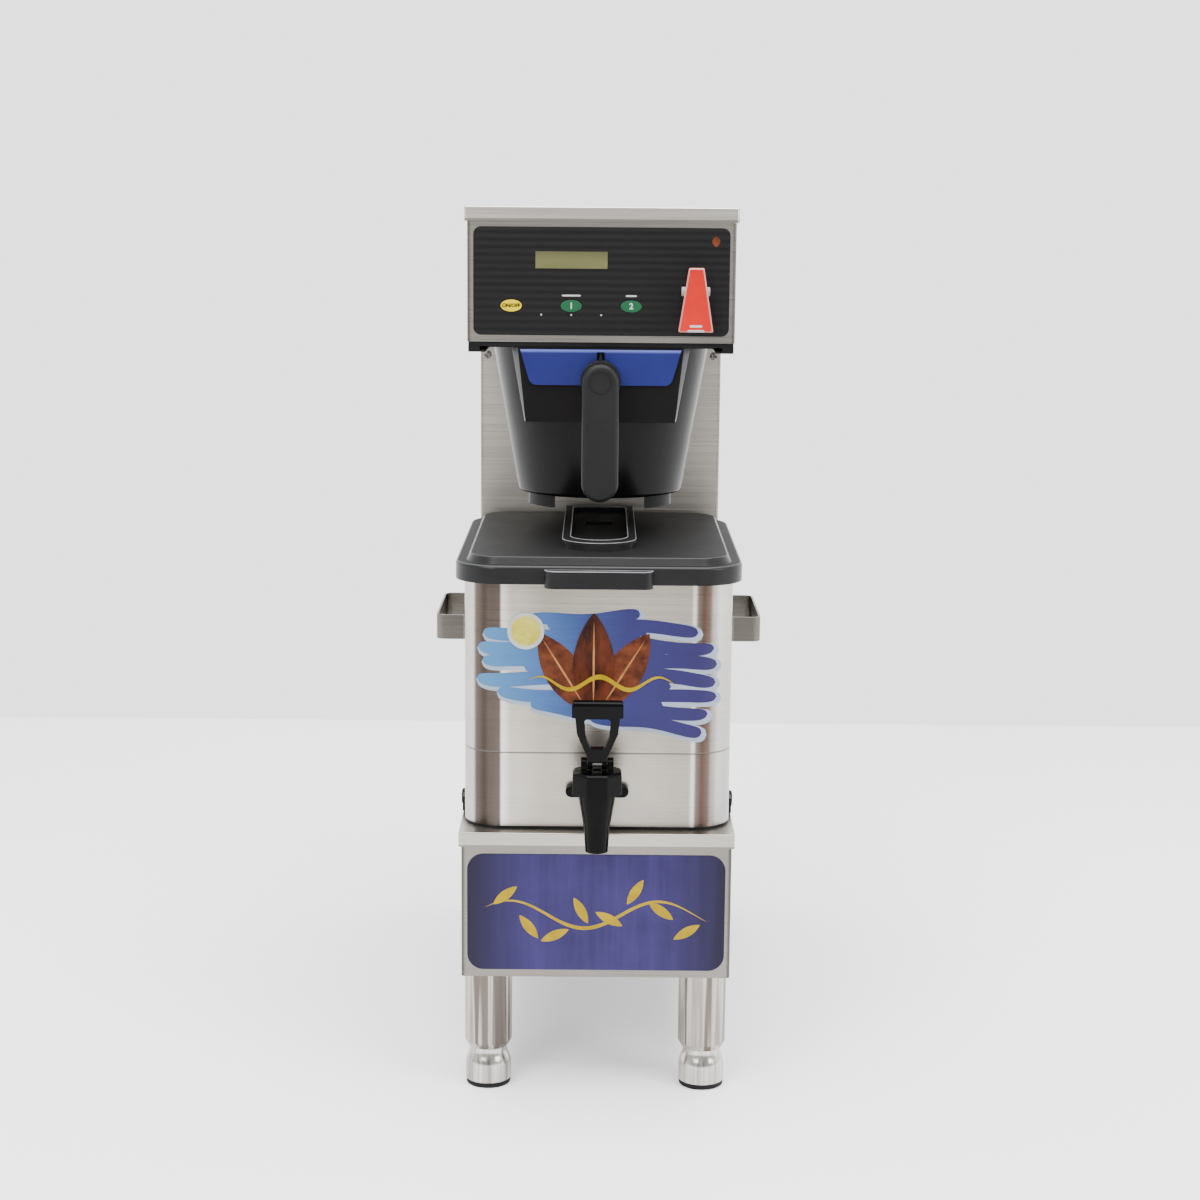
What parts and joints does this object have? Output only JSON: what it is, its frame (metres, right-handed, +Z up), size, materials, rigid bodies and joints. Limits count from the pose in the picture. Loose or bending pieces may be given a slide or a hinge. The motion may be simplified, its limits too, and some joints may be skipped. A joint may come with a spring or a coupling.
{
  "type": "coffee and tea brewer",
  "caption": "Tall counter-top brewer on levelling legs: an overhanging head with a brew basket over a lift-off steel tea dispenser with a lever faucet.",
  "frame": {"origin": "on the floor under the middle of the whole object's bounding box", "axes": "+Z up, +Y towards the back, +X towards the right seen from the front"},
  "size_m": [0.308, 0.64, 0.8155],
  "materials": {
    "sheet_steel": "brushed",
    "plain_steel": "satin",
    "leg_steel": "polished",
    "foot_steel": "polished",
    "screw_steel": "satin",
    "wire_steel": "polished",
    "element_steel": "satin",
    "tank_steel": "brushed",
    "panel_print": "gloss",
    "rubber_black": "matte",
    "grey_nylon": "matte",
    "brass": "machined",
    "black_trim": "matte",
    "overlay_face": "satin",
    "display_glass": "clear",
    "circuit_board": "satin",
    "white_plastic": "satin",
    "valve_plastic": "satin",
    "silicone": "satin",
    "yellow_button": "gloss",
    "green_button": "gloss",
    "red_plastic": "gloss",
    "basket_plastic": "satin",
    "blue_plate": "gloss",
    "handle_plastic": "matte",
    "black_plastic": "satin",
    "lid_plastic": "satin",
    "faucet_plastic": "gloss",
    "faucet_lever_plastic": "gloss"
  },
  "bodies": {
    "frame": {"base_shell": "sheet_steel", "base_top": "sheet_steel", "base_pan": "plain_steel", "base_panel": "panel_print", "panel_screws": "screw_steel", "side_bumpers": "rubber_black", "leg_tubes": "leg_steel", "leg_fasteners": "screw_steel", "column_shell": "sheet_steel", "rear_cover": "plain_steel", "cable_gland": "grey_nylon", "water_inlet": "brass", "head_shell": "sheet_steel", "head_lid": "sheet_steel", "head_underpan": "black_trim", "basket_rails": "black_trim", "control_overlay": "overlay_face", "display_window": "display_glass", "control_board": "circuit_board", "valve_yoke": "white_plastic", "hot_water_valve": "white_plastic", "hot_water_spout": "plain_steel", "spray_head": "grey_nylon", "hot_water_tank": "plain_steel", "tank_lid": "plain_steel", "heating_element": "element_steel", "temperature_probe": "plain_steel", "brew_valve": "valve_plastic", "brew_hoses": "silicone", "hot_water_hose": "silicone", "inlet_valve": "valve_plastic"},
    "on_off_button": {"on_off_button": "yellow_button"},
    "coffee_button": {"coffee_button": "green_button"},
    "tea_button": {"tea_button": "green_button"},
    "hot_water_lever": {"hot_water_lever": "red_plastic"},
    "hot_water_stem": {"hot_water_stem": "plain_steel"},
    "basket": {"brew_basket": "basket_plastic", "basket_label": "blue_plate", "basket_handle": "handle_plastic", "filter_frame": "wire_steel"},
    "dispenser": {"dispenser_tank": "tank_steel", "dispenser_base": "black_plastic", "handle_straps": "sheet_steel", "faucet_body": "faucet_plastic", "faucet_shank": "plain_steel", "faucet_bonnet": "faucet_plastic", "wing_nut": "faucet_plastic", "lever_pin": "plain_steel"},
    "dispenser_lid": {"dispenser_lid": "lid_plastic", "lid_funnel": "lid_plastic"},
    "faucet_lever": {"faucet_lever": "faucet_lever_plastic"},
    "faucet_stem": {"faucet_stem": "rubber_black"},
    "foot_front_left": {"foot_front_left": "foot_steel", "foot_pad_front_left": "rubber_black"},
    "foot_front_right": {"foot_front_right": "foot_steel", "foot_pad_front_right": "rubber_black"},
    "foot_rear_left": {"foot_rear_left": "foot_steel", "foot_pad_rear_left": "rubber_black"},
    "foot_rear_right": {"foot_rear_right": "foot_steel", "foot_pad_rear_right": "rubber_black"}
  },
  "joints": [
    {"name": "foot_front_left_turn", "type": "hinge", "parent": "frame", "child": "foot_front_left", "pos_m": [-0.1005, -0.24, 0.03], "axis": [0, 0, 1], "continuous": true},
    {"name": "foot_front_right_turn", "type": "hinge", "parent": "frame", "child": "foot_front_right", "pos_m": [0.1005, -0.24, 0.03], "axis": [0, 0, 1], "continuous": true},
    {"name": "foot_rear_left_turn", "type": "hinge", "parent": "frame", "child": "foot_rear_left", "pos_m": [-0.1005, 0.272, 0.03], "axis": [0, 0, 1], "continuous": true},
    {"name": "foot_rear_right_turn", "type": "hinge", "parent": "frame", "child": "foot_rear_right", "pos_m": [0.1005, 0.272, 0.03], "axis": [0, 0, 1], "continuous": true},
    {"name": "on_off_press", "type": "slide", "parent": "frame", "child": "on_off_button", "axis": [0, 1, 0], "range_m": [0, 0.0008], "stiffness_N_per_m": 1500, "springref_m": -0.0006},
    {"name": "coffee_press", "type": "slide", "parent": "frame", "child": "coffee_button", "axis": [0, 1, 0], "range_m": [0, 0.0008], "stiffness_N_per_m": 1500, "springref_m": -0.0006},
    {"name": "tea_press", "type": "slide", "parent": "frame", "child": "tea_button", "axis": [0, 1, 0], "range_m": [0, 0.0008], "stiffness_N_per_m": 1500, "springref_m": -0.0006},
    {"name": "hot_water_lift", "type": "hinge", "parent": "frame", "child": "hot_water_lever", "pos_m": [0.087, -0.173, 0.7395], "axis": [-1, 0, 0], "range_deg": [0, 30], "stiffness_Nm_per_rad": 0.12, "springref_deg": -20.05},
    {"name": "hot_water_stem_push", "type": "slide", "parent": "frame", "child": "hot_water_stem", "axis": [0, 1, 0], "range_m": [0, 0.0021]},
    {"name": "basket_slide", "type": "slide", "parent": "frame", "child": "basket", "axis": [0, -1, 0], "range_m": [0, 0.23]},
    {"name": "dispenser_slide", "type": "slide", "parent": "frame", "child": "dispenser", "axis": [0, -1, 0], "range_m": [0, 0.35]},
    {"name": "lid_lift", "type": "slide", "parent": "dispenser", "child": "dispenser_lid", "axis": [0, 0, 1], "range_m": [0, 0.012]},
    {"name": "faucet_pull", "type": "hinge", "parent": "dispenser", "child": "faucet_lever", "pos_m": [0, -0.298, 0.3239], "axis": [1, 0, 0], "range_deg": [0, 30], "stiffness_Nm_per_rad": 0.35, "springref_deg": -17.19},
    {"name": "faucet_stem_lift", "type": "slide", "parent": "dispenser", "child": "faucet_stem", "axis": [0, 0, 1], "range_m": [0, 0.0041]}
  ],
  "couplings": [
    {"joint": "hot_water_stem_push", "follows": "hot_water_lift", "m_per_rad": 0.00382},
    {"joint": "faucet_stem_lift", "follows": "faucet_pull", "m_per_rad": 0.00764}
  ]
}
